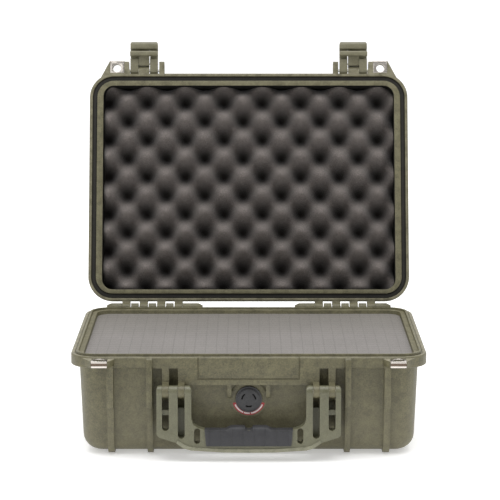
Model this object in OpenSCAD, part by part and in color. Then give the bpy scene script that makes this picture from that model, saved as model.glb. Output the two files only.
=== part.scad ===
// Hard equipment case, hinged at the back, shown open. Millimetres.
// X runs across the case, -Y is the front with the handle, Z is up, Z = 0 is the surface it stands on.
// The lid and all it carries are drawn shut and then turned open about the hinge axis.

/* [Rim] */
// Width over the rim flange
flange_w = 406; // [400:1:410]
// Depth over the rim flange
flange_d = 293; // [290:1:296]
// Plan corner radius of the rim flange
flange_r = 31; // [29:0.5:33]
// Height of the plane where lid and base meet
mate_z = 117; // [116:0.5:118]
// Thickness of the base flange
flange_t = 12.8; // [12.5:0.1:13]
// Thickness of the lid flange
lid_flange_t = 12.7; // [12:0.1:13]
// Gap between the meeting faces, which rest on the gasket
seal_gap = 0.1; // [0.05:0.05:0.2]
// How far the rim tongue stands above the meeting plane
tongue_h = 2.5; // [1.5:0.1:2.5]
// Tongue from the flange edge, outer side
tongue_out = 6; // [5.8:0.1:6.4]
// Tongue from the flange edge, inner side
tongue_in = 8.8; // [8.4:0.1:9]

/* [Base tub] */
// Wall inset from the flange edge at the flange
wall_inset = 8.8; // [8.5:0.1:9.5]
// Plan corner radius of the wall at the flange
wall_r = 27; // [26:0.5:28]
// How much the wall leans in from flange to bottom
wall_draft = 4; // [3.8:0.1:5]
// Underside of the tub above the surface it stands on
skid_h = 3; // [2:0.5:3]
// Radius along the bottom edge
bottom_r = 19; // [16:0.5:19]
// Cavity inset from the flange edge at the meeting plane
cavity_inset = 14.5; // [14.2:0.1:15]
// Cavity floor height
floor_z = 8; // [7.5:0.5:9]

/* [Lid] */
// Closed height of the lid body above the surface the case stands on
lid_top = 169; // [168:0.5:170]
// Height of the ribs on top of the lid
lid_rib_h = 5; // [3:0.5:6]
// Lid cavity roof height, closed
lid_roof = 161.5; // [160:0.5:162]
// Inner edge of the lid's land from the flange edge, at the sides
land_in = 17.3; // [17:0.1:17.6]
// Inner edge of the land at the front
land_front = 15.8; // [15.5:0.1:16.2]
// Inner edge of the land at the hinge
land_back = 14.6; // [14.3:0.1:15]
// Outer edge of the gasket groove from the flange edge
groove_out = 3.6; // [3:0.1:4]
// Inner edge of the gasket groove from the flange edge
groove_in = 9.6; // [9.2:0.1:10]
// Depth of the gasket groove
groove_d = 6; // [5:0.5:6]

/* [Hinge] */
// Hinge axis behind the middle of the case
hinge_y = 155.5; // [155.5:0.5:156.5]
// Hinge axis height
hinge_z = 115.5; // [115.5:0.5:116]
// How far the lid stands open
lid_open = 107; // [90:1:108]
// Knuckle radius
knuckle_r = 6; // [5.5:0.5:6]
// Knuckle pitch
knuckle_pitch = 22; // [21:0.5:22]
// Lid knuckle width
knuckle_w = 10.3; // [9.5:0.1:10.3]
// Gap beside each lid knuckle
knuckle_gap = 1.1; // [0.3:0.1:1.5]
// Outer end of the hinge from the middle of the case
hinge_end = 179; // [178:0.5:181]
// Hinge pin radius
hinge_pin_r = 2; // [1.5:0.1:2.5]
// Running clearance of every pin
run_gap = 0.05; // [0.03:0.01:0.08]

/* [Latches] */
// Latch centre from the middle of the case
latch_x = 134; // [133.5:0.1:134.5]
// Latch width
latch_w = 35; // [34.5:0.1:35]
// Reach of an open latch beyond the lid edge
latch_reach = 41.8; // [41:0.1:42]
// Latch pin beyond the lid edge
latch_pin_out = 4.5; // [4.5:0.1:4.8]
// Latch pin height, closed
latch_pin_z = 122; // [122:0.1:122.3]
// Width of the gap between the cheeks
latch_gap = 15; // [14.5:0.1:15.5]
// Inner side of the lid lug and the jaw's arm, from the latch's middle
lug_in = 6.5; // [6:0.1:7]
// Outer side of the lid lug and the jaw's arm, from the latch's middle
lug_out = 7.2; // [6.8:0.1:7.3]
// Depth of the bar that catches under the base flange
jaw_reach = 5; // [4:0.1:6]

/* [Handle] */
// Half width of the handle
handle_half = 103.9; // [103:0.1:104]
// Handle pin height
handle_pin_z = 80; // [79.5:0.5:80.5]
// Handle pin from the middle of the case
handle_pin_y = -158; // [-159:0.5:-157.5]
// Thickness of the handle arms
handle_t = 12; // [10:0.5:12]
// Radius of the handle's fingers
finger_r = 7; // [6.5:0.5:7]
// Half length of the rubber grip
grip_half = 50; // [46:0.5:51]

/* [Corners and front] */
// Padlock hole radius
padlock_r = 5.2; // [4:0.1:5.6]
// Padlock hole from the middle of the case
padlock_x = 168.5; // [168:0.1:169.5]
// Padlock hole beyond the flange edge
padlock_out = 7; // [6.4:0.1:7.5]
// Height of a padlock ear
ear_h = 7.5; // [7:0.1:8]
// Sheet thickness of the steel protectors
steel_t = 1.3; // [1:0.1:1.6]
// Pressure valve height
valve_z = 67; // [64:0.5:68]
// Pressure valve radius
valve_r = 15; // [13:0.5:15]
// Half width of the blank name panel
panel_half = 58; // [50:1:60]

/* [Foam] */
// Spacing of the egg-crate peaks across the case
crate_x = 49.2; // [46:0.1:50]
// Spacing of the egg-crate peaks along the lid
crate_y = 48.2; // [46:0.1:49]
// Height of the egg-crate peaks
crate_h = 22; // [16:1:26]
// Thickness of the plain foam pad under the scored foam
pad_t = 12.7; // [12.5:0.1:14]

/* [Hidden] */
fx = flange_w / 2;
fy = flange_d / 2;
front = -fy;
under = mate_z - flange_t;
lid_face = mate_z + seal_gap;
lid_over = mate_z + lid_flange_t;
latch_py = front - latch_pin_out;
jaw_py = front - 13;
jaw_pz = latch_pin_z - 0.6;
hook_a = latch_pin_z - under + 0.15;
hook_w = 6.7;
latch_lo = latch_pin_z - 4.2;
latch_hi = latch_pin_z + 4.2;
lid_y = (land_front - land_back) / 2;
lid_cy = fy - flange_r + land_in - (land_front + land_back) / 2;
ear_base_z = mate_z - 1.4 - ear_h;
ear_lid_z = mate_z + 0.2;
knuckle_room = knuckle_w / 2 + knuckle_gap;
plate_room = knuckle_w / 2 + 0.3;

// ---- shared shapes

// rounded rectangle, given as an inset from the flange edge
module plan(i) {
  r = flange_r - i;
  square([2 * (fx - i - r), 2 * (fy - i)], center = true);
  square([2 * (fx - i), 2 * (fy - i - r)], center = true);
  for (x = [-1, 1], y = [-1, 1])
    translate([x * (fx - i - r), y * (fy - i - r)]) circle(r = r, $fn = 64);
}

// a band between two insets
module band(outer, inner, z0, z1)
  translate([0, 0, z0]) linear_extrude(z1 - z0) difference() { plan(outer); plan(inner); }

// a drafted body with rounded corners: a half profile carried round a rectangle of 2*cx by 2*cy
module carried(cx, cy, z0, z1) {
  translate([-cx, -cy, z0]) cube([2 * cx, 2 * cy, z1 - z0]);
  for (m = [0, 1]) mirror([0, m, 0]) {
    translate([-cx, cy, 0]) rotate([90, 0, 90]) linear_extrude(2 * cx) children();
    for (n = [0, 1]) mirror([n, 0, 0])
      translate([cx, cy, 0]) rotate_extrude(angle = 90, $fn = 64) children();
  }
  for (n = [0, 1]) mirror([n, 0, 0])
    translate([cx, cy, 0]) rotate([90, 0, 0]) linear_extrude(2 * cy) children();
}

// half profile: radius r0 at z0, r1 at z1, with the z0 edge rounded by e
module rising(r0, r1, z0, z1, e)
  polygon(concat([[0, z0]],
    [for (a = [0 : 15 : 90]) [r0 - e + e * sin(a), z0 + e - e * cos(a)]],
    [[r1, z1], [0, z1]]));

// half profile: radius r0 at z0, r1 at z1, with the z1 edge rounded by e
module falling(r0, r1, z0, z1, e)
  polygon(concat([[0, z0], [r0, z0]],
    [for (a = [90 : -15 : 0]) [r1 - e + e * sin(a), z1 - e + e * cos(a)]],
    [[0, z1]]));

// a YZ outline carried across X from x0 to x1
module across(x0, x1)
  translate([x0, 0, 0]) rotate([90, 0, 90]) linear_extrude(x1 - x0) children();

module rod(r, x0, x1, y, z)
  translate([x0, y, z]) rotate([0, 90, 0]) cylinder(r = r, h = x1 - x0, $fn = 48);

module both() { children(); mirror([1, 0, 0]) children(); }

module opened()
  translate([0, hinge_y, hinge_z]) rotate([-lid_open, 0, 0]) translate([0, -hinge_y, -hinge_z]) children();

// the steel channel round a padlock ear, on the right, from z0 up; fat makes room for it in the ear
module channel(z0, fat)
  difference() {
    translate([159.2 - fat, front - 16.3, z0]) cube([18.1 + 2 * fat, 15.6 + fat, ear_h]);
    translate([150, front - 16.3 + steel_t + fat, z0 + steel_t + fat])
      cube([40, 20, ear_h - 2 * steel_t - 2 * fat]);
  }

// a padlock ear on the right
module ear(z0) {
  difference() {
    translate([0, 0, z0]) linear_extrude(ear_h)
      polygon([[152, front + 6], [189.5, front + 6], [177.6, front - 16.3], [159.2, front - 16.3],
        [156, front - 12], [152, front - 4]]);
    translate([padlock_x, front - padlock_out, z0 - 1]) cylinder(r = padlock_r, h = 14, $fn = 64);
  }
}

module protector(z0)
  difference() {
    channel(z0, 0);
    translate([padlock_x, front - padlock_out, z0 - 1]) cylinder(r = padlock_r, h = 14, $fn = 64);
  }

// ---- base

// outline of a rib that runs down the front, under the tub and up the back
module skid_outline(top_y) {
  polygon(concat([[-120, mate_z - 5], [top_y + 4, mate_z - 1], [top_y + 1.2, mate_z - 2.2],
    [top_y, mate_z - 5], [top_y, 62], [top_y + 1.5, 59], [-141.5, 57]],
    [for (a = [0 : 15 : 90]) [-140.5 + 23 - 23 * cos(a), 23 - 23 * sin(a)]],
    [for (a = [0 : 15 : 90]) [139 - 23 + 23 * sin(a), 23 - 23 * cos(a)]],
    [[143, under], [120, under + 2]]));
}

module handle_lug(x0, x1) {
  rod(finger_r, x0, x1, handle_pin_y, handle_pin_z);
  across(x0, x1)
    polygon([[handle_pin_y, handle_pin_z + finger_r], [-134, handle_pin_z + finger_r + 4],
      [-134, 66], [-144, 66], [handle_pin_y, handle_pin_z - finger_r]]);
}

module base_hinge() {
  across(58, hinge_end)
    polygon([[132, 88], [146.5, 102], [153, 107.4], [153, 109.4], [132, 109.4]]);
  // the outermost plates have sloping ends
  for (e = [[hinge_end, 1], [58, -1]])
    translate([e[0] - e[1] * 5.5, hinge_y, hinge_z]) rotate([0, e[1] * 90, 0])
      cylinder(r1 = knuckle_r, r2 = 3.4, h = 5.5, $fn = 48);
  for (s = base_knuckles()) {
    rod(knuckle_r, max(s[0], 63.5), min(s[1], hinge_end - 5.5), hinge_y, hinge_z);
    across(s[0], s[1])
      polygon([[138, 105], [150, 105], [hinge_y, hinge_z - 3.4], [hinge_y, hinge_z], [150, hinge_z + 0.5],
        [138, hinge_z + 0.5]]);
  }
}

function lid_knuckle(i) = 88.5 + knuckle_pitch * i;
function base_knuckles() = concat([[58, lid_knuckle(0) - plate_room]],
  [for (i = [0 : 2]) [lid_knuckle(i) + knuckle_room, lid_knuckle(i + 1) - knuckle_room]],
  [[lid_knuckle(3) + plate_room, hinge_end]]);

module base_shell() color([0.40, 0.39, 0.33]) difference() {
  union() {
    carried(fx - wall_inset - wall_r, fy - wall_inset - wall_r, skid_h, mate_z - 2)
      rising(wall_r - wall_draft, wall_r, skid_h, mate_z - 2, bottom_r);
    carried(fx - flange_r, fy - flange_r, under, mate_z)
      polygon([[0, under], [flange_r - 1, under], [flange_r, under + 1], [flange_r, mate_z - 1.2],
        [flange_r - 1.2, mate_z], [0, mate_z]]);
    band(tongue_out, tongue_in, mate_z - 1, mate_z + tongue_h);
    // front block at flange depth
    translate([-108.5, front, 85]) cube([217, 20, mate_z - 87]);
    // cross rib between the skids
    translate([-110, -4, 0]) cube([220, 8, skid_h + 1]);
    // short ribs under the block
    both() across(19.6, 24.4)
      polygon([[front + 1.5, 86], [-134, 86], [-134, 70], [-138, 68], [-142, 70], [front + 1.5, 80]]);
    both() {
      across(109.2, 115.6) skid_outline(front - 5.5);
      across(153.3, 160.7) skid_outline(front - 5.5);
      handle_lug(90.3, 97.5);
      handle_lug(72.5, 79.7);
      ear(ear_base_z);
      base_hinge();
    }
    translate([0, -124, valve_z]) rotate([90, 0, 0]) cylinder(r = 21, h = 13.5, $fn = 72);
  }
  carried(fx - flange_r, fy - flange_r, floor_z, mate_z + 1)
    rising(flange_r - cavity_inset - 3, flange_r - cavity_inset, floor_z, mate_z + 1, 13.4);
  carried(fx - flange_r, fy - flange_r, mate_z, mate_z + 5)
    translate([0, mate_z]) square([flange_r - cavity_inset, 5]);
  band(4.5, tongue_out, mate_z - 1, mate_z + 1);
  // groove round a blank name panel
  translate([-panel_half, front - 1, 91.4]) difference() {
    cube([2 * panel_half, 2.2, 30]);
    translate([1.6, -1, 1.6]) cube([2 * panel_half - 3.2, 5, 30]);
  }
  both() {
    // pockets in the front block
    translate([80, front - 1, 80]) cube([10.1, 11, under - 80]);
    translate([98.1, front - 1, 80]) cube([10.4, 11, under - 80]);
    channel(ear_base_z, 0.05);
    rod(hinge_pin_r, 60, hinge_end + 1, hinge_y, hinge_z);
    rod(2.5, 64, 104, handle_pin_y, handle_pin_z);
    translate([padlock_x, front - padlock_out, mate_z - 13]) cylinder(r = padlock_r, h = 14, $fn = 64);
  }
  translate([0, -120, valve_z]) rotate([90, 0, 0]) cylinder(r = 9, h = 30, $fn = 64);
}

module foam_base_pad() color([0.42, 0.41, 0.40])
  carried(fx - flange_r, fy - flange_r, floor_z + 0.2, floor_z + pad_t)
    rising(flange_r - cavity_inset - 3.9, flange_r - cavity_inset - 3.8, floor_z + 0.2, floor_z + pad_t, 12);

module pluck_foam() color([0.55, 0.53, 0.52])
  carried(fx - flange_r, fy - flange_r, floor_z + pad_t + 0.1, mate_z - 4.2)
    polygon([[0, floor_z + pad_t + 0.1], [flange_r - cavity_inset - 3.1, floor_z + pad_t + 0.1],
      [flange_r - cavity_inset - 0.5, mate_z - 4.2], [0, mate_z - 4.2]]);

module padlock_protector_base_left() color([0.8, 0.8, 0.8]) mirror([1, 0, 0]) protector(ear_base_z);
module padlock_protector_base_right() color([0.8, 0.8, 0.8]) protector(ear_base_z);

module hinge_pins() color([0.7, 0.7, 0.7]) both() rod(hinge_pin_r, 60, hinge_end - 0.5, hinge_y, hinge_z);

module handle_pins() color([0.7, 0.7, 0.7]) both() rod(2.5, 65.5, 103.4, handle_pin_y, handle_pin_z);

// ---- pressure valve

module disc(r, y0, y1)
  translate([0, y1, valve_z]) rotate([90, 0, 0]) cylinder(r = r, h = y1 - y0, $fn = 72);

module sector(r0, r1, a0, a1, y0, y1)
  translate([0, y1, valve_z]) rotate([90, 0, 0]) rotate([0, 0, a0])
    rotate_extrude(angle = a1 - a0, $fn = 72) translate([r0, 0]) square([r1 - r0, y1 - y0]);

module valve_body() color([0.15, 0.15, 0.15]) {
  disc(valve_r, -140.5, -137.5);
  disc(8.95, -138, -131.4);
}

module valve_cap() color([0.17, 0.17, 0.17]) difference() {
  disc(valve_r - 2.5, -142.6, -140.5);
  for (a = [30, 150, 270]) sector(7, 8.6, a - 27, a + 27, -143, -140.8);
}

module valve_label() color([0.70, 0.15, 0.16])
  sector(valve_r + 0.4, 18.8, 195, 345, -137.9, -137.5);

// ---- lid, drawn shut

// outline of a rib over the lid; it stands before the lid edge to guard the latch
module guard_outline() {
  polygon([[-120, mate_z + 3], [front, mate_z + 0.4], [front - 14, mate_z + 0.4], [front - 15.6, mate_z + 1.6],
    [front - 16, mate_z + 4], [front - 15, 128], [front - 10, 132.5], [front + 1, 137], [-142, 141],
    [-138.6, lid_top - 6], [-136.6, lid_top + 1], [-132, lid_top + lid_rib_h - 1], [-127, lid_top + lid_rib_h],
    [124, lid_top + lid_rib_h], [130, lid_top + lid_rib_h - 1], [135, lid_top + 1], [137.5, lid_top - 6],
    [141, lid_over - 1], [120, lid_over - 3]]);
}

module lid_closed() difference() {
  union() {
    carried(fx - wall_inset - wall_r, fy - wall_inset - wall_r, mate_z + 2, lid_top)
      falling(wall_r, wall_r - 3, mate_z + 2, lid_top, 14);
    carried(fx - flange_r, fy - flange_r, lid_face, lid_over)
      polygon([[0, lid_face], [flange_r - 1.2, lid_face], [flange_r, lid_face + 1.2], [flange_r, lid_over - 5],
        [flange_r - 0.6, lid_over - 2.2], [flange_r - 2, lid_over - 0.7], [flange_r - 4.5, lid_over],
        [0, lid_over]]);
    both() {
      across(108.1, 114.6) guard_outline();
      across(153.4, 160) guard_outline();
      ear(ear_lid_z);
      // lug that the latch pin runs through
      rod(4.5, latch_x - lug_in, latch_x + lug_out, latch_py, latch_pin_z);
      across(latch_x - lug_in, latch_x + lug_out)
        polygon([[latch_py, latch_pin_z - 4.5], [front + 3, latch_pin_z - 4.5], [front + 3, latch_pin_z + 4.5],
          [latch_py, latch_pin_z + 4.5]]);
      for (i = [0 : 3]) {
        rod(knuckle_r, lid_knuckle(i) - knuckle_w / 2, lid_knuckle(i) + knuckle_w / 2, hinge_y, hinge_z);
        across(lid_knuckle(i) - knuckle_w / 2, lid_knuckle(i) + knuckle_w / 2)
          polygon([[138, mate_z + 0.4], [hinge_y, mate_z + 0.4], [hinge_y, hinge_z + knuckle_r],
            [150, hinge_z + knuckle_r + 3], [138, hinge_z + knuckle_r + 6]]);
      }
    }
  }
  translate([0, lid_y, 0])
    carried(fx - flange_r, lid_cy, mate_z - 1, lid_roof)
      falling(flange_r - land_in, flange_r - land_in - 1.5, mate_z - 1, lid_roof, 8);
  band(groove_out, groove_in, mate_z - 1, mate_z + groove_d);
  both() {
    rod(hinge_pin_r + run_gap, 60, hinge_end + 1, hinge_y, hinge_z);
    rod(2.02, 110, 158, latch_py, latch_pin_z);
    channel(ear_lid_z, 0.05);
    translate([padlock_x, front - padlock_out, mate_z - 1]) cylinder(r = padlock_r, h = 14, $fn = 64);
  }
}

module lid_shell() color([0.40, 0.39, 0.33]) difference() {
  opened() lid_closed();
  // relief over the outer half of each knuckle
  both() for (i = [0 : 3]) translate([lid_knuckle(i) + 0.4, 149, 116.7]) cube([4.6, 2, 1]);
}

module lid_gasket() color([0.2, 0.2, 0.19]) opened()
  band(groove_out + 0.1, groove_in - 0.1, mate_z + tongue_h + 0.1, mate_z + groove_d - 0.05);

// egg-crate peaks are cones on a staggered grid, trimmed to the outline of the foam sheet
module lid_foam() color([0.35, 0.33, 0.31]) opened() {
  z1 = lid_roof - 0.2;
  z0 = mate_z + 0.4;
  intersection() {
    translate([0, lid_y, 0])
      carried(fx - flange_r, lid_cy, z0 - 1, z1)
        falling(flange_r - land_in - 0.3, flange_r - land_in - 2, z0 - 1, z1, 8);
    union() {
      translate([-fx, -fy, z0 + crate_h]) cube([flange_w, flange_d, 40]);
      for (h = [0, 0.5], i = [-4 : 3], j = [-3 : 2])
        translate([17.5 + crate_x * (i + h), 8.2 + crate_y * (j + h), z0])
          cylinder(r1 = 6, r2 = 16, h = crate_h + 1, $fn = 32);
    }
  }
}

module padlock_protector_lid_left() color([0.8, 0.8, 0.8]) opened() mirror([1, 0, 0]) protector(ear_lid_z);
module padlock_protector_lid_right() color([0.8, 0.8, 0.8]) opened() protector(ear_lid_z);

module latch_pins() color([0.7, 0.7, 0.7]) opened() both() rod(2, 111, 157.5, latch_py, latch_pin_z);

// ---- latches, drawn on the right with the lid shut and the latch standing out

// plan of a latch piece w wide that reaches far from the lid edge, its far corners rounded by r
module latch_plan(w, far, r)
  translate([latch_x, front - far]) {
    translate([r - w / 2, 0]) square([w - 2 * r, 60]);
    translate([-w / 2, r]) square([w, 60]);
    for (s = [-1, 1]) translate([s * (w / 2 - r), r]) circle(r = r, $fn = 32);
  }

module lever() difference() {
  intersection() {
    translate([0, 0, latch_pin_z - 12]) linear_extrude(24) latch_plan(latch_w, latch_reach, 3.5);
    union() {
      for (x = [latch_x - latch_w / 2, latch_x + latch_gap / 2]) {
        w = (latch_w - latch_gap) / 2;
        rod(4.2, x, x + w, latch_py, latch_pin_z);
        across(x, x + w)
          polygon([[latch_py, latch_lo], [latch_py, latch_hi], [front - 32, latch_hi], [front - 32, latch_pin_z - 0.6],
            [latch_py - hook_a + 1.6, latch_pin_z - 0.6], [latch_py - hook_a + 3.6, latch_lo]]);
      }
      // back plate, open beside the inner cheek
      translate([latch_x - lug_in, front - 32, latch_hi - 1.8]) cube([lug_in + 10, 22.8, 1.8]);
      // pull bar
      across(latch_x - latch_w / 2, latch_x + latch_w / 2)
        polygon(concat([[front - 31.4, latch_hi]],
          [for (a = [0 : 22.5 : 90]) [front - 33.9 + 2.5 * cos(a), latch_lo + 1.2 - 2.5 * sin(a)]],
          [for (a = [0 : 18 : 90]) [front - latch_reach + 4.5 - 4.5 * sin(a), latch_lo + 3.2 - 4.5 * cos(a)]],
          [[front - latch_reach, latch_hi - 2.6], [front - latch_reach + 0.7, latch_hi - 0.8],
            [front - latch_reach + 2.4, latch_hi]]));
    }
  }
  rod(2 + run_gap, latch_x - 20, latch_x + 20, latch_py, latch_pin_z);
  rod(1.2, latch_x - 20, latch_x + 20, jaw_py, jaw_pz);
}

module jaw() {
  bar_y = latch_py - hook_a;
  bar_hi = latch_lo - 0.2;
  difference() {
    union() {
      rod(2.8, latch_x - lug_in, latch_x + lug_out, jaw_py, jaw_pz);
      across(latch_x - lug_in, latch_x + lug_out)
        polygon([[jaw_py, jaw_pz - 2.8], [jaw_py, jaw_pz + 0.6], [bar_y - hook_w, jaw_pz + 0.6],
          [bar_y - hook_w, bar_hi - 1], [bar_y, bar_hi - 1], [bar_y, jaw_pz - 2.8]]);
      intersection() {
        translate([0, 0, latch_pin_z - 12]) linear_extrude(24)
          latch_plan(latch_w + 0.6, front - bar_y + hook_w, 2.2);
        across(latch_x - latch_w / 2 - 0.3, latch_x + latch_w / 2 + 0.3)
          polygon(concat([[bar_y, bar_hi], [bar_y, bar_hi - jaw_reach + 0.8], [bar_y - 0.8, bar_hi - jaw_reach]],
            [for (a = [0 : 18 : 90]) [bar_y - hook_w + 3 - 3 * sin(a), bar_hi - jaw_reach + 3 - 3 * cos(a)]],
            [[bar_y - hook_w, bar_hi - 0.6], [bar_y - hook_w + 0.6, bar_hi]]));
      }
    }
    rod(1.2 + run_gap, latch_x - 20, latch_x + 20, jaw_py, jaw_pz);
  }
}

module jaw_pin() rod(1.2, latch_x - latch_w / 2 + 1, latch_x + latch_w / 2 - 1, jaw_py, jaw_pz);

module latch_lever_left() color([0.42, 0.41, 0.34]) opened() mirror([1, 0, 0]) lever();
module latch_lever_right() color([0.42, 0.41, 0.34]) opened() lever();
module latch_jaw_left() color([0.38, 0.37, 0.31]) opened() mirror([1, 0, 0]) jaw();
module latch_jaw_right() color([0.38, 0.37, 0.31]) opened() jaw();
module latch_jaw_pin_left() color([0.7, 0.7, 0.7]) opened() mirror([1, 0, 0]) jaw_pin();
module latch_jaw_pin_right() color([0.7, 0.7, 0.7]) opened() jaw_pin();

// ---- handle

module slot2(x, z0, z1, w) {
  translate([x - w / 2, z0 + w / 2]) square([w, z1 - z0 - w]);
  for (z = [z0 + w / 2, z1 - w / 2]) translate([x, z]) circle(r = w / 2, $fn = 32);
}

// handle face, drawn in X and Z
module handle_face() difference() {
  polygon([[0, 11], [30, 11.3], [65, 13.5], [73.7, 16], [81.7, 22], [101.6, 28.4], [handle_half, 31.4],
    [handle_half, handle_pin_z], [64.8, handle_pin_z], [64.8, 50], [62.5, 43], [57, 39], [50, 37], [0, 37]]);
  slot2(93.9, 36, 110, 7.8);
  slot2(76.1, 27, 110, 7.8);
  slot2(58.2, 21, 39, 6.8);
}

module handle_frame() color([0.46, 0.46, 0.40]) difference() {
  union() {
    both() {
      translate([0, handle_pin_y + handle_t / 2, 0]) rotate([90, 0, 0]) linear_extrude(handle_t) handle_face();
      for (s = [[97.8, handle_half, 33], [80, 90, 27], [64.8, 72.2, 20]]) {
        rod(finger_r, s[0], s[1], handle_pin_y, handle_pin_z);
        // each arm runs deeper behind
        translate([s[0], handle_pin_y + 5, s[2]]) cube([s[1] - s[0], 13, 66 - s[2]]);
      }
      // bridge across the outer slot, and web behind the inner one
      translate([89.5, handle_pin_y, 53]) cube([9, handle_t / 2 - 1, 6]);
      translate([71.5, handle_pin_y + 8, 22]) cube([9, 3, 37.5]);
    }
    // raised band along the lower edge
    translate([0, handle_pin_y - handle_t / 2 + 1, 0]) rotate([90, 0, 0]) linear_extrude(2.2)
      both() polygon([[0, 11], [30, 11.3], [65, 13.5], [73.7, 16], [81.7, 22], [80, 25.4], [72, 20], [64, 17.4],
        [30, 15.4], [0, 15.1]]);
  }
  both() {
    rod(2.5 + run_gap, 60, 106, handle_pin_y, handle_pin_z);
    // rounded outer corners at the top
    for (c = [[handle_half - 4, 0], [68.8, 1]])
      translate([c[0], handle_pin_y + 10, handle_pin_z + finger_r - 4]) mirror([c[1], 0, 0]) rotate([90, 0, 0])
        linear_extrude(20) difference() { square(6); circle(r = 4, $fn = 48); }
  }
}

module handle_grip() color([0.16, 0.16, 0.16])
  difference() {
    intersection() {
      across(-grip_half - 2, grip_half + 2)
        polygon([[-150.4, 18.5], [-150.2, 30], [-150.6, 37], [-152.4, 40], [-156, 41.2], [-161, 41.2],
          [-165.2, 40], [-167.6, 36.5], [-168.4, 29], [-167.6, 22], [-165.6, 18.5]]);
      // the ends slope
      translate([0, -140, 0]) rotate([90, 0, 0]) linear_extrude(40)
        polygon([[-grip_half + 2, 18], [grip_half - 2, 18], [grip_half, 42], [-grip_half, 42]]);
    }
    translate([-grip_half - 1, handle_pin_y - handle_t / 2, 10]) cube([2 * grip_half + 2, handle_t, 27]);
  }

base_shell();
foam_base_pad();
pluck_foam();
padlock_protector_base_left();
padlock_protector_base_right();
hinge_pins();
handle_pins();
valve_body();
valve_cap();
valve_label();
lid_shell();
lid_gasket();
lid_foam();
padlock_protector_lid_left();
padlock_protector_lid_right();
latch_pins();
latch_lever_left();
latch_jaw_left();
latch_jaw_pin_left();
latch_lever_right();
latch_jaw_right();
latch_jaw_pin_right();
handle_frame();
handle_grip();
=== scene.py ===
import math

import bmesh
import bpy
from mathutils import Matrix, Vector, noise


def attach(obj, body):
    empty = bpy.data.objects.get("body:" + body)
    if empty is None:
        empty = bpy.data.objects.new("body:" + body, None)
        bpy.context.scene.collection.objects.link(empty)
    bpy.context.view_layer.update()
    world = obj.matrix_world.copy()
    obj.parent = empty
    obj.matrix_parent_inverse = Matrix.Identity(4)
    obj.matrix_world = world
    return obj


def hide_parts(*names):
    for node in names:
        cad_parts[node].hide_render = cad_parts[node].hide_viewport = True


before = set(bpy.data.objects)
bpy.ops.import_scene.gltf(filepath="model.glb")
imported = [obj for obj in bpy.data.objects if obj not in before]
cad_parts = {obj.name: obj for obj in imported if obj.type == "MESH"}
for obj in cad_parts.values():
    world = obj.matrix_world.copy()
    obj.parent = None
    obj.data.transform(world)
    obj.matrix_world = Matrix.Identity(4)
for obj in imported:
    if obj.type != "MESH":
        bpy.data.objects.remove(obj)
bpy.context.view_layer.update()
mm = 0.001

# the lid and what it carries are modelled shut, then turned open about the hinge
case = {
    "hinge": Vector((0, 155.5 * mm, 115.5 * mm)),
    "openAngle": math.radians(-107),
}
openTurn = (
    Matrix.Translation(case["hinge"])
    @ Matrix.Rotation(case["openAngle"], 4, "X")
    @ Matrix.Translation(-case["hinge"])
)
unturned = Matrix.Identity(4)


class Flow:
    # a shader socket that can be added to, multiplied and led on to further nodes
    def __init__(self, tree, socket):
        self.tree, self.socket = tree, socket

    def make(self, kind, settings=None, inputs=None, out=0):
        node = self.tree.nodes.new(kind)
        for key, value in (settings or {}).items():
            setattr(node, key, value)
        for key, value in (inputs or {}).items():
            if isinstance(value, Flow):
                self.tree.links.new(value.socket, node.inputs[key])
            else:
                node.inputs[key].default_value = value
        return Flow(self.tree, node.outputs[out])

    def sums(self, operation, *terms):
        return self.make("ShaderNodeMath", {"operation": operation}, dict(enumerate(terms)))

    def __add__(self, other):
        return self.sums("ADD", self, other)

    def __radd__(self, other):
        return self.sums("ADD", other, self)

    def __mul__(self, other):
        return self.sums("MULTIPLY", self, other)

    def __rmul__(self, other):
        return self.sums("MULTIPLY", other, self)


def startFrom(tree, coordinates):
    return Flow(tree, None).make("ShaderNodeTexCoord", out=coordinates)


def newFinish(name, roughness, metallic=0.0, specular=0.5, sheen=0.0):
    material = bpy.data.materials.new(name)
    material.use_nodes = True
    shader = material.node_tree.nodes["Principled BSDF"]
    shader.inputs["Roughness"].default_value = roughness
    shader.inputs["Metallic"].default_value = metallic
    shader.inputs["Specular IOR Level"].default_value = specular
    shader.inputs["Sheen Weight"].default_value = sheen
    return material, shader, startFrom(material.node_tree, "Object")


def feed(flow, shader, socket):
    flow.tree.links.new(flow.socket, shader.inputs[socket])


def axis(start, index):
    return start.make("ShaderNodeSeparateXYZ", {}, {0: start}, out=index)


def painted(start, name):
    # a value that a piece keeps on its own faces or points
    return start.make("ShaderNodeAttribute", {"attribute_name": name}, out=2)


def speckle(start, scale, detail=3.0, roughness=0.5):
    return start.make(
        "ShaderNodeTexNoise",
        {"noise_dimensions": "3D"},
        {"Vector": start, "Scale": scale, "Detail": detail, "Roughness": roughness},
    )


def blend(share, low, high):
    # each end is a colour, or a flow that carries one
    low, high = [end if isinstance(end, Flow) else (*end, 1) for end in (low, high)]
    return share.make("ShaderNodeMix", {"data_type": "RGBA"}, {0: share, 6: low, 7: high}, out=2)


def span(value, fromLow, fromHigh, toLow, toHigh):
    return value.make(
        "ShaderNodeMapRange",
        {"clamp": True},
        {"Value": value, "From Min": fromLow, "From Max": fromHigh, "To Min": toLow, "To Max": toHigh},
    )


def relief(height, distance):
    return height.make("ShaderNodeBump", {}, {"Height": height, "Distance": distance, "Strength": 1.0})


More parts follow.
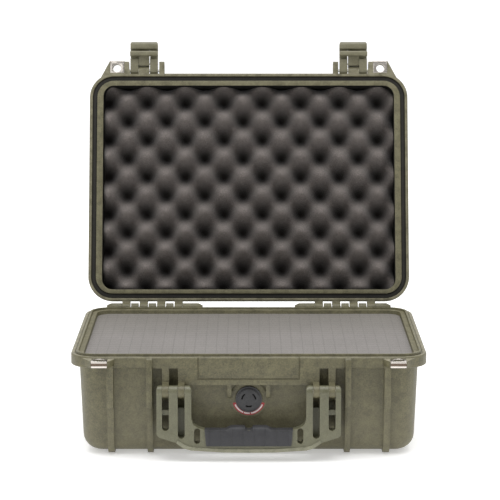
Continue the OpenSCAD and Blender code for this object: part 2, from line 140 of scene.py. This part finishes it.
# dark and light shade, roughness, depth of grain in mm, specular level, and the pale shade for wear and
# painted light
finishes = {
    "shellPlastic": ((0.07, 0.064, 0.034), (0.152, 0.139, 0.075), 0.48, 0.1, 0.42, (0.27, 0.25, 0.18)),
    "latchPlastic": ((0.11, 0.102, 0.06), (0.168, 0.157, 0.098), 0.42, 0.05, 0.45, (0.34, 0.32, 0.24)),
    "handlePlastic": ((0.084, 0.082, 0.045), (0.136, 0.133, 0.08), 0.4, 0.06, 0.45, (0.27, 0.265, 0.19)),
    "blackPlastic": ((0.016, 0.016, 0.017), (0.036, 0.036, 0.037), 0.4, 0.04, 0.42, (0.085, 0.085, 0.087)),
    # painted shade: a near-black finish for faces that stand in deep shade
    "paintedShadeBlack": ((0.004, 0.004, 0.003), (0.008, 0.007, 0.006), 0.7, 0.04, 0.2, None),
    "gripRubber": ((0.026, 0.026, 0.028), (0.04, 0.04, 0.043), 0.58, 0.05, 0.35, (0.06, 0.06, 0.064)),
    "gasketRubber": ((0.01, 0.009, 0.007), (0.022, 0.02, 0.016), 0.55, 0.04, 0.3, None),
    "labelRed": ((0.3, 0.02, 0.024), (0.38, 0.03, 0.034), 0.35, 0.01, 0.42, None),
    "labelWhite": ((0.6, 0.5, 0.49), (0.72, 0.64, 0.62), 0.4, 0.01, 0.42, None),
}
mouldTexture = {  # scale, detail and roughness of each noise
    "cloud": (16, 4, 0.6),
    "mottle": (110, 3, 0.65),
    "fine": (700, 2, 0.6),
}
# painted light: the plastic is painted paler towards the ground, standing in for light thrown up from the
# bright floor
floorLightPaint = {"low": 8 * mm, "high": 96 * mm, "share": 0.2}  # paler towards the ground


def mouldedPlastic(name, low, high, roughness, grain, specular, wearAndLightShade):
    # fine moulded texture with slow changes of shade, paler where edges have rubbed, and painted paler on
    # marked rim bands and low down as painted reflection and painted floor light
    material, shader, start = newFinish(name, roughness, specular=specular)
    cloud, mottle, fine = [speckle(start, *mouldTexture[layer]) for layer in ("cloud", "mottle", "fine")]
    shade = span(cloud * 0.15 + mottle * 0.4 + fine * 0.45, 0.38, 0.62, 0.0, 1.0)
    colour = blend(shade, low, high)
    if wearAndLightShade:
        # wear on rounded edges, painted reflections on rim bands and painted floor light low down all draw
        # the colour towards the pale shade
        patchy = span(mottle, 0.35, 0.6, 0.25, 1.0)
        # painted light: paler low down
        floorLightShare = span(axis(start, 2), floorLightPaint["low"], floorLightPaint["high"], floorLightPaint["share"], 0.0)
        colour = blend(painted(start, "wearAndSheen") * patchy + floorLightShare, colour, wearAndLightShade)
    feed(colour, shader, "Base Color")
    feed(span(mottle, 0.3, 0.7, roughness - 0.07, roughness + 0.07), shader, "Roughness")
    feed(relief(fine + mottle * 0.8, grain * mm), shader, "Normal")
    return material


plastics = {name: mouldedPlastic(name, *finish) for name, finish in finishes.items()}


def brushedSteel(name, low, high, roughness, lengthways):
    # drawn lines run along the sheet
    material, shader, start = newFinish(name, roughness, metallic=1.0)
    stretch = start.make("ShaderNodeMapping", {}, {"Vector": start, "Scale": lengthways})
    lines = speckle(stretch, 300, 3, 0.6)
    feed(blend(span(lines, 0.3, 0.7, 0.0, 1.0), low, high), shader, "Base Color")
    feed(span(lines, 0.3, 0.7, roughness - 0.08, roughness + 0.1), shader, "Roughness")
    feed(relief(lines, 0.008 * mm), shader, "Normal")
    return material


sheetSteel = brushedSteel("sheetSteel", (0.56, 0.52, 0.47), (0.66, 0.62, 0.57), 0.22, (0.15, 3, 3))
# painted shade: a dark brownish steel for the pressed groove, standing in for the shade in it
grooveShadeSteel = brushedSteel("grooveShadeSteel", (0.115, 0.085, 0.065), (0.175, 0.135, 0.105), 0.38, (0.15, 3, 3))
rodSteel = brushedSteel("rodSteel", (0.45, 0.44, 0.43), (0.62, 0.61, 0.6), 0.3, (0.1, 4, 4))


def openCellFoam(name, cell, depth):
    # the cut cells give an uneven shade, which each foam's own colours follow, and a fine relief
    material, shader, start = newFinish(name, 0.95, specular=0.12, sheen=0.15)
    cells = start.make(
        "ShaderNodeTexVoronoi", {"feature": "F1"}, {"Vector": start, "Scale": 1 / cell, "Randomness": 1.0}
    )
    fuzz = speckle(start, 0.6 / cell, 3, 0.7)
    patch = speckle(start, 22, 3)
    shade = span(cells * 0.5 + fuzz * 0.6 + patch * 0.3, 0.35, 0.95, 0.0, 1.0)
    feed(relief(cells + fuzz, depth), shader, "Normal")
    return material, shader, start, shade


darkLook = {
    "cell": 1.1 * mm,
    "relief": 0.4 * mm,
    "peaks": ((0.075, 0.065, 0.06), (0.19, 0.168, 0.156)),
    # painted shade: near-black shades for the pits
    "pits": ((0.006, 0.005, 0.004), (0.018, 0.015, 0.013)),
}


def makeDarkFoam(s):
    material, shader, start, shade = openCellFoam("darkFoam", s["cell"], s["relief"])
    # painted shade: the foam is painted near black by how deep each point lies in a pit
    colour = blend(painted(start, "paintedPitShade"), blend(shade, *s["peaks"]), blend(shade, *s["pits"]))
    feed(colour, shader, "Base Color")
    return material


greyLook = {
    "cell": 0.8 * mm,
    "relief": 0.2 * mm,
    "near": ((0.15, 0.14, 0.131), (0.225, 0.21, 0.199)),
    # painted shade: the far shades are darker, standing in for the shade under the open lid
    "far": ((0.108, 0.1, 0.084), (0.17, 0.158, 0.136)),
    "paintedBackShade": (-20 * mm, 130 * mm, 0.0, 0.8),  # near and far places, and the share of the far shades at each
    "halfSquare": 6.273 * mm,
    "line": (0.3 * mm, 0.8 * mm, 0.24, 0.0),  # distances from a line, and the share of its shade at each
    "lineShade": (0.09, 0.084, 0.077),
}


def makeGreyFoam(s):
    material, shader, start, shade = openCellFoam("greyFoam", s["cell"], s["relief"])
    # painted shade: the block is painted darker towards the back
    block = blend(span(axis(start, 1), *s["paintedBackShade"]), blend(shade, *s["near"]), blend(shade, *s["far"]))
    # the scored lines that run front to back look darkest
    side = axis(start, 0)
    line = span(side.sums("PINGPONG", side, s["halfSquare"]), *s["line"])
    feed(blend(line, block, s["lineShade"]), shader, "Base Color")
    return material


darkFoam = makeDarkFoam(darkLook)
greyFoam = makeGreyFoam(greyLook)
print("materials made")


def smoothByAngle(bm, degrees):
    for face in bm.faces:
        face.smooth = True
    for edge in bm.edges:
        edge.smooth = not edge.is_manifold or edge.calc_face_angle(0) < math.radians(degrees)


def addPiece(bm, name, body, material, nodes=(), sharp=38, second=None):
    smoothByAngle(bm, sharp)
    mesh = bpy.data.meshes.new(name)
    bm.to_mesh(mesh)
    bm.free()
    mesh.materials.append(material)
    if second:
        mesh.materials.append(second)  # for the faces whose material index is 1
    piece = bpy.data.objects.new(name, mesh)
    bpy.context.scene.collection.objects.link(piece)
    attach(piece, body)
    if nodes:
        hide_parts(*nodes)
    return piece


cleaning = {"join": 0.004 * mm, "flat": math.radians(0.6)}


def mergedCopy(node):
    # the frame's own mesh is loose triangles, so its copy is joined up and its flat faces cleaned
    bm = bmesh.new()
    bm.from_mesh(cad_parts[node].data)
    bmesh.ops.remove_doubles(bm, verts=bm.verts, dist=cleaning["join"])
    bmesh.ops.dissolve_degenerate(bm, edges=bm.edges, dist=cleaning["join"])
    bmesh.ops.dissolve_limit(
        bm, angle_limit=cleaning["flat"], use_dissolve_boundaries=False, verts=bm.verts, edges=bm.edges
    )
    # bevelling a face with deep corners can turn it inside out, so such faces are split up
    bmesh.ops.connect_verts_concave(bm, faces=[f for f in bm.faces if len(f.verts) > 4])
    return bm


def roundEdges(bm, width, segments=2, degrees=30):
    # the rounded strips are marked, so that the finish can rub them paler
    wearAndSheen = bm.faces.layers.float.new("wearAndSheen")
    edges = [e for e in bm.edges if e.is_manifold and e.calc_face_angle(0) > math.radians(degrees)]
    made = bmesh.ops.bevel(
        bm,
        geom=edges,
        offset=width,
        offset_type="OFFSET",
        affect="EDGES",
        segments=segments,
        profile=0.5,
        material=-1,
        clamp_overlap=True,
    )
    for face in made["faces"]:
        face[wearAndSheen] = 1.0


def cutAcross(bm, place, direction):
    everything = bm.verts[:] + bm.edges[:] + bm.faces[:]
    bmesh.ops.bisect_plane(bm, geom=everything, plane_co=place, plane_no=direction)


def softenedNode(node, body, material, width, segments=2):
    bm = mergedCopy(node)
    roundEdges(bm, width, segments)
    addPiece(bm, node + "Soft", body, material, [node])


def paintNode(node, material):
    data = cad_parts[node].data
    data.materials.clear()
    data.materials.append(material)


# how far the plain pieces' edges are rounded
edgeWidths = {"shell": 0.9 * mm, "latch": 0.6 * mm, "valve": 0.6 * mm, "gasket": 0.9 * mm}

# painted reflection: flat bands round the rims, by their distance in from the flange edge, and how much each
# is painted paler, standing in for the sheen of the bright room on them
rims = {
    "corner": Vector((172 * mm, 115.5 * mm)),
    "radius": 31 * mm,
    "flat": 0.95,  # how squarely a face looks up or down to be one of them
    "reach": 3 * mm,  # and how near it is to the rim's height
    "base": {"facing": 1, "height": 117 * mm, "bands": ((4.6 * mm, 0.8), (9 * mm, 0.25), (15 * mm, 0.35))},
    "lid": {"facing": -1, "height": 117.1 * mm, "bands": ((3.7 * mm, 0.4), (18 * mm, 0.1))},
    # painted shade: cavity walls this far in and between these heights get the near-black finish
    "cavity": {"inset": 13.5 * mm, "low": 118 * mm, "high": 152 * mm},
}


def edgeDistance(place, s):
    dx, dy = abs(place.x) - s["corner"].x, abs(place.y) - s["corner"].y
    reach = math.hypot(dx, dy) if dx > 0 and dy > 0 else max(dx, dy)
    return s["radius"] - reach


# painted reflection: marks the flat rim bands that are painted paler
def paintRimSheen(bm, turn, rim, s):
    wearAndSheen = bm.faces.layers.float["wearAndSheen"]
    back = turn.inverted()
    for face in bm.faces:
        if (back.to_3x3() @ face.normal).z * rim["facing"] < s["flat"]:
            continue
        places = [back @ v.co for v in face.verts]
        if abs(sum(p.z for p in places) / len(places) - rim["height"]) > s["reach"]:
            continue
        inward = max(edgeDistance(p, s) for p in places)
        face[wearAndSheen] = next((amount for limit, amount in rim["bands"] if inward < limit), 0.0)


def paintCavityShade(bm, turn, cavity, s):
    # painted shade: the walls beside the foam are given a near-black finish, standing in for their deep shade
    back = turn.inverted()
    for face in bm.faces:
        place = back @ face.calc_center_median()
        if edgeDistance(place, s) > cavity["inset"] and cavity["low"] < place.z < cavity["high"]:
            face.material_index = 1


def makeShell(node, turn, rim, s, cavity=None):
    bm = mergedCopy(node)
    roundEdges(bm, edgeWidths["shell"])
    paintRimSheen(bm, turn, rim, s)
    if cavity:
        paintCavityShade(bm, turn, cavity, s)
    return bm


addPiece(
    makeShell("base_shell", unturned, rims["base"], rims),
    "base_shellSoft",
    "base",
    plastics["shellPlastic"],
    ["base_shell"],
)
addPiece(
    makeShell("lid_shell", openTurn, rims["lid"], rims, rims["cavity"]),
    "lid_shellSoft",
    "lid",
    plastics["shellPlastic"],
    ["lid_shell"],
    second=plastics["paintedShadeBlack"],
)
print("shells made")

for side in ("left", "right"):
    for part, body in (("latch_lever_", "latch_"), ("latch_jaw_", "jaw_")):
        softenedNode(part + side, body + side, plastics["latchPlastic"], edgeWidths["latch"])
    paintNode("latch_jaw_pin_" + side, rodSteel)
for node in ("hinge_pins", "handle_pins", "latch_pins"):
    paintNode(node, rodSteel)

handleFrame = {
    "edge": 1.3 * mm,
    "bandFront": -164.4 * mm,
    "bandTop": 26 * mm,
    # how much paler the band is painted, as a painted reflection
    "bandSheen": 0.6,
}


def makeHandleFrame(s):
    # painted reflection: the raised band along the lower edge is painted paler, standing in for the bright
    # floor it reflects
    bm = mergedCopy("handle_frame")
    roundEdges(bm, s["edge"], 3)
    wearAndSheen = bm.faces.layers.float["wearAndSheen"]
    for face in bm.faces:
        place = face.calc_center_median()
        if place.y < s["bandFront"] and place.z < s["bandTop"]:
            face[wearAndSheen] = s["bandSheen"]
    return bm


addPiece(
    makeHandleFrame(handleFrame),
    "handleFrameSoft",
    "handle",
    plastics["handlePlastic"],
    ["handle_frame"],
)
softenedNode("valve_body", "base", plastics["blackPlastic"], edgeWidths["valve"])

valveCap = {
    "edge": 0.3 * mm,
    "height": 67 * mm,
    "slotFloor": -142.4 * mm,
    "slotReach": 10 * mm,
}


def makeValveCap(s):
    # painted shade: the floors of the slots are given a near-black finish, standing in for their deep shade
    bm = mergedCopy("valve_cap")
    roundEdges(bm, s["edge"])
    for face in bm.faces:
        place = face.calc_center_median()
        if place.y > s["slotFloor"] and math.hypot(place.x, place.z - s["height"]) < s["slotReach"]:
            face.material_index = 1
    return bm


addPiece(
    makeValveCap(valveCap),
    "valveCapSoft",
    "base",
    plastics["blackPlastic"],
    ["valve_cap"],
    second=plastics["paintedShadeBlack"],
)
softenedNode("lid_gasket", "lid", plastics["gasketRubber"], edgeWidths["gasket"], 3)
paintNode("valve_label", plastics["labelRed"])
paintNode("foam_base_pad", darkFoam)
print("hardware made")

earCover = {
    "edge": 0.6 * mm,
    "groove": 3.4 * mm,
    "grooveDepth": 0.4 * mm,
    "grooveSlope": 0.15 * mm,
    "flatWithin": 0.1 * mm,
}


def makeEarCover(node, turn, s):
    # a pressed groove runs across the front of the bent sheet
    bm = mergedCopy(node)
    bmesh.ops.transform(bm, matrix=turn.inverted(), verts=bm.verts)
    roundEdges(bm, s["edge"], 3, 50)
    low = min(v.co.z for v in bm.verts)
    middle = (low + max(v.co.z for v in bm.verts)) / 2
    for offset in (-s["groove"] / 2, s["groove"] / 2):
        cutAcross(bm, (0, 0, middle + offset), (0, 0, 1))
    front = min(v.co.y for v in bm.verts)
    band = [
        f
        for f in bm.faces
        if f.normal.y < -0.9
        and abs(f.calc_center_median().z - middle) < s["groove"] / 2
        and f.calc_center_median().y < front + s["flatWithin"]
    ]
    bmesh.ops.inset_region(bm, faces=band, thickness=s["grooveSlope"], depth=-s["grooveDepth"])
    # painted shade: the groove's faces take the dark steel
    for face in band:
        face.material_index = 1
    bmesh.ops.transform(bm, matrix=turn, verts=bm.verts)
    return bm


for side in ("left", "right"):
    for body, turn in (("base", unturned), ("lid", openTurn)):
        node = f"padlock_protector_{body}_{side}"
        cover = makeEarCover(node, turn, earCover)
        addPiece(cover, node + "Soft", body, sheetSteel, [node], second=grooveShadeSteel)
print("ear covers made")

grip = {
    "edge": 1.2 * mm,
    "middle": Vector((0, -159.4 * mm, 30 * mm)),
    "crown": (19 * mm, 27 * mm),  # the raised middle ends between these
    "crownCuts": 6,
    "crownDrop": 3.2 * mm,
    "topFrom": 36 * mm,
    "topBlend": 4 * mm,
    "notch": 4.6 * mm,
    "notchDepth": 0.8,  # as a share of a half round
    "ribPitch": 12.6 * mm,
    "ribDepth": 0.35 * mm,
    "ribWidth": 0.5 * mm,
    "ribReach": 0.05 * mm,  # how near a point lies to a ring's middle to be pressed in
}


def makeGrip(s):
    # rubber with a raised middle, a thumb notch in its top edge and fine rings
    bm = mergedCopy("handle_grip")
    roundEdges(bm, s["edge"], 3)
    crownLow, crownHigh = s["crown"]
    crownWidth = crownHigh - crownLow
    ribs = [s["ribPitch"] * (k + 0.5) for k in range(-4, 4)]
    cuts = [x + d * s["ribWidth"] for x in ribs for d in (-1, 0, 1)]
    cuts += [s["notch"] * math.sin(math.radians(a)) for a in range(-90, 91, 15)]
    step = crownWidth / (s["crownCuts"] - 1)
    cuts += [side * (crownLow + k * step) for side in (-1, 1) for k in range(s["crownCuts"])]
    for x in sorted(cuts):
        cutAcross(bm, (x, 0, 0), (1, 0, 0))
    for v in bm.verts:
        x = abs(v.co.x)
        if any(abs(v.co.x - rib) < s["ribReach"] for rib in ribs):
            inward = s["middle"] - v.co
            inward.x = 0
            v.co += inward.normalized() * s["ribDepth"]
        above = min(1.0, max(0.0, (v.co.z - s["topFrom"]) / s["topBlend"]))
        slope = min(1.0, max(0.0, (x - crownLow) / crownWidth))
        v.co.z -= above * s["crownDrop"] * slope * slope * (3 - 2 * slope)
        if x < s["notch"]:
            v.co.z -= above * s["notchDepth"] * math.sqrt(s["notch"] ** 2 - x * x)
    bmesh.ops.recalc_face_normals(bm, faces=bm.faces)
    return bm


addPiece(makeGrip(grip), "handleGripRubber", "handle", plastics["gripRubber"], ["handle_grip"])

labelBars = {
    "centre": Vector((0, -137.95 * mm, 67 * mm)),
    "inner": 15.9 * mm,
    "outer": 17.5 * mm,
    "thickness": 0.2 * mm,
    "arcs": ((203, 247), (251, 274), (279, 337)),  # degrees round the valve
    "steps": 10,
}


def makeLabelBars(s):
    # plain printed bars stand where a maker would print words
    bm = bmesh.new()
    low, high = -s["thickness"], 0
    for start, end in s["arcs"]:
        outline = ((s["inner"], high), (s["outer"], high), (s["outer"], low), (s["inner"], low))
        corners = [bm.verts.new(s["centre"] + Vector((*place, 0))) for place in outline]
        section = bm.faces.new(corners)
        turn = Matrix.Rotation(-math.radians(start), 3, "Y")
        bmesh.ops.rotate(bm, cent=s["centre"], matrix=turn, verts=corners)
        bmesh.ops.spin(
            bm,
            geom=[section, *section.edges, *corners],
            cent=s["centre"],
            axis=(0, -1, 0),
            angle=math.radians(end - start),
            steps=s["steps"],
        )
    bmesh.ops.recalc_face_normals(bm, faces=bm.faces)
    return bm


addPiece(makeLabelBars(labelBars), "valveLabelBars", "base", plastics["labelWhite"])
print("grip and label made")


def insideRounded(x, y, halfX, halfY, radius):
    # a point beyond the rounded corner comes back onto it
    cx, cy = halfX - radius, halfY - radius
    dx, dy = abs(x) - cx, abs(y) - cy
    if dx > 0 and dy > 0:
        reach = math.hypot(dx, dy)
        if reach > radius:
            dx, dy = dx * radius / reach, dy * radius / reach
            return math.copysign(cx + dx, x), math.copysign(cy + dy, y)
    return x, y


def rimOf(bm):
    return [e for e in bm.edges if e.is_boundary]


eggCrate = {
    "half": (184.8 * mm, 130.9 * mm),
    "centreY": 0.6 * mm,
    "corner": 13.3 * mm,
    "pitch": (49.2 * mm, 48.2 * mm),
    "firstPeak": (17.5 * mm, 8.2 * mm),
    "peakHeight": 117.8 * mm,
    "pitHeight": 150 * mm,
    "peakPower": 0.8,  # under 1 the peaks are blunt and the pits narrow
    "pitShade": 1.15,
    "rimWidth": 5 * mm,
    "rimDrop": 3 * mm,
    "back": 161.2 * mm,
    "cell": 1.9 * mm,
    "wobble": {"scale": 60, "height": 1.1 * mm},
}


def makeEggCrate(s):
    halfX, halfY = s["half"]
    bm = bmesh.new()
    bmesh.ops.create_grid(
        bm,
        x_segments=int(2 * halfX / s["cell"]),
        y_segments=int(2 * halfY / s["cell"]),
        size=1,
    )
    depth = bm.verts.layers.float.new("paintedPitShade")
    for v in bm.verts:
        x, y = insideRounded(v.co.x * halfX, v.co.y * halfY, halfX, halfY, s["corner"])
        wave = math.cos(2 * math.pi * (x - s["firstPeak"][0]) / s["pitch"][0])
        wave *= math.cos(2 * math.pi * (y + s["centreY"] - s["firstPeak"][1]) / s["pitch"][1])
        rise = (0.5 + 0.5 * wave) ** s["peakPower"]  # 1 on a peak, 0 in a pit
        wobble = noise.noise(Vector((x, y, 0)) * s["wobble"]["scale"]) * s["wobble"]["height"]
        edge = min(halfX - abs(x), halfY - abs(y))
        drop = max(0.0, 1 - edge / s["rimWidth"]) ** 2 * s["rimDrop"]
        z = s["pitHeight"] + (s["peakHeight"] - s["pitHeight"]) * rise + wobble + drop
        v.co = (x, y + s["centreY"], z)
        # painted shade: how near black the foam is painted here, most in the pits
        v[depth] = min(1.0, s["pitShade"] * (1 - rise))
    sides = bmesh.ops.extrude_edge_only(bm, edges=rimOf(bm))["geom"]
    for v in [g for g in sides if isinstance(g, bmesh.types.BMVert)]:
        v.co.z = s["back"]
    bmesh.ops.edgeloop_fill(bm, edges=rimOf(bm))
    bmesh.ops.transform(bm, matrix=openTurn, verts=bm.verts)
    bmesh.ops.recalc_face_normals(bm, faces=bm.faces)
    return bm


eggFoam = addPiece(makeEggCrate(eggCrate), "lidEggCrateFoam", "lid", darkFoam, ["lid_foam"], 60)

pluckBlock = {
    "half": (188.2 * mm, 131.7 * mm),
    "lowHalf": (185.4 * mm, 128.9 * mm),
    "corner": 16 * mm,
    "low": 21 * mm,
    "top": 112.7 * mm,
    "cube": 12.7 * mm,
    "scoreWidth": 0.22 * mm,
    "scoreDepth": 0.14 * mm,
    "scoreSlope": 0.9 * mm,
    "wobble": {"scale": 35, "height": 0.2 * mm},
}


def makePluckFoam(s):
    # a block whose top is scored into small squares
    halfX, halfY = s["half"]
    bm = bmesh.new()
    bmesh.ops.create_grid(
        bm, x_segments=round(2 * halfX / s["cube"]), y_segments=round(2 * halfY / s["cube"]), size=1
    )
    for v in bm.verts:
        x, y = insideRounded(v.co.x * halfX, v.co.y * halfY, halfX, halfY, s["corner"])
        wobble = noise.noise(Vector((x, y, 3)) * s["wobble"]["scale"]) * s["wobble"]["height"]
        v.co = (x, y, s["top"] - s["scoreDepth"] + wobble)
    cubes = list(bm.faces)
    rim = rimOf(bm)
    bmesh.ops.inset_individual(bm, faces=cubes, thickness=s["scoreWidth"] / 2, depth=0)
    bmesh.ops.inset_individual(bm, faces=cubes, thickness=s["scoreSlope"], depth=s["scoreDepth"])
    sides = bmesh.ops.extrude_edge_only(bm, edges=rim)["geom"]
    taperX, taperY = s["lowHalf"][0] / halfX, s["lowHalf"][1] / halfY
    for v in [g for g in sides if isinstance(g, bmesh.types.BMVert)]:
        v.co = (v.co.x * taperX, v.co.y * taperY, s["low"])
    bmesh.ops.edgeloop_fill(bm, edges=rimOf(bm))
    bmesh.ops.recalc_face_normals(bm, faces=bm.faces)
    return bm


pluckFoam = addPiece(
    makePluckFoam(pluckBlock), "pluckFoamBlock", "base", greyFoam, ["pluck_foam"], 50
)
print("foam made")

ground = {"size": 60, "shade": (0.85, 0.85, 0.85, 1), "glow": (1, 1, 1, 1), "glowStrength": 0.38}
bpy.ops.mesh.primitive_plane_add(size=ground["size"], location=(0, 0, 0))
floor = bpy.context.object
floor.name = "floor"
floorPaint, floorShader, _ = newFinish("floorPaint", 0.6, specular=0.3)
floorShader.inputs["Base Color"].default_value = ground["shade"]
floorShader.inputs["Emission Color"].default_value = ground["glow"]
floorShader.inputs["Emission Strength"].default_value = ground["glowStrength"]
floor.data.materials.append(floorPaint)

# the room is white behind the case and dimmer on the side it is seen from
room = {"dimTo": -0.75, "whiteFrom": -0.1, "dim": 0.42, "white": 1.0}
world = bpy.data.worlds.new("studio")
bpy.context.scene.world = world
world.use_nodes = True
backdrop = world.node_tree.nodes["Background"]
backdrop.inputs["Color"].default_value = (1, 1, 1, 1)
away = axis(startFrom(world.node_tree, "Generated"), 1)
brightness = span(away, room["dimTo"], room["whiteFrom"], room["dim"], room["white"])
feed(brightness, backdrop, "Strength")


def aimed(holder, s):
    bpy.context.scene.collection.objects.link(holder)
    holder.location = s["place"]
    holder.rotation_euler = (Vector(s["aim"]) - Vector(s["place"])).to_track_quat("-Z", "Y").to_euler()
    return holder


lamps = {
    "over": {"place": (0, -0.2, 2.6), "aim": (0, 0, 0.1), "size": (2.4, 2.4), "power": 55},
    "front": {"place": (-1.4, -3.0, 1.8), "aim": (0, 0, 0.2), "size": (1.8, 1.8), "power": 13},
}
for name, lamp in lamps.items():
    light = bpy.data.lights.new(name, "AREA")
    light.shape, light.energy = "RECTANGLE", lamp["power"]
    light.size, light.size_y = lamp["size"]
    aimed(bpy.data.objects.new(name, light), lamp)

view = {"place": (0, -2.624, 0.653), "aim": (0.0015, 0, 0.2155), "lens": 161.5, "sensor": 36}
camera = bpy.data.cameras.new("camera")
camera.lens, camera.sensor_width = view["lens"], view["sensor"]
bpy.context.scene.camera = aimed(bpy.data.objects.new("camera", camera), view)
bpy.context.scene.view_settings.view_transform = "Standard"
print("stage made")
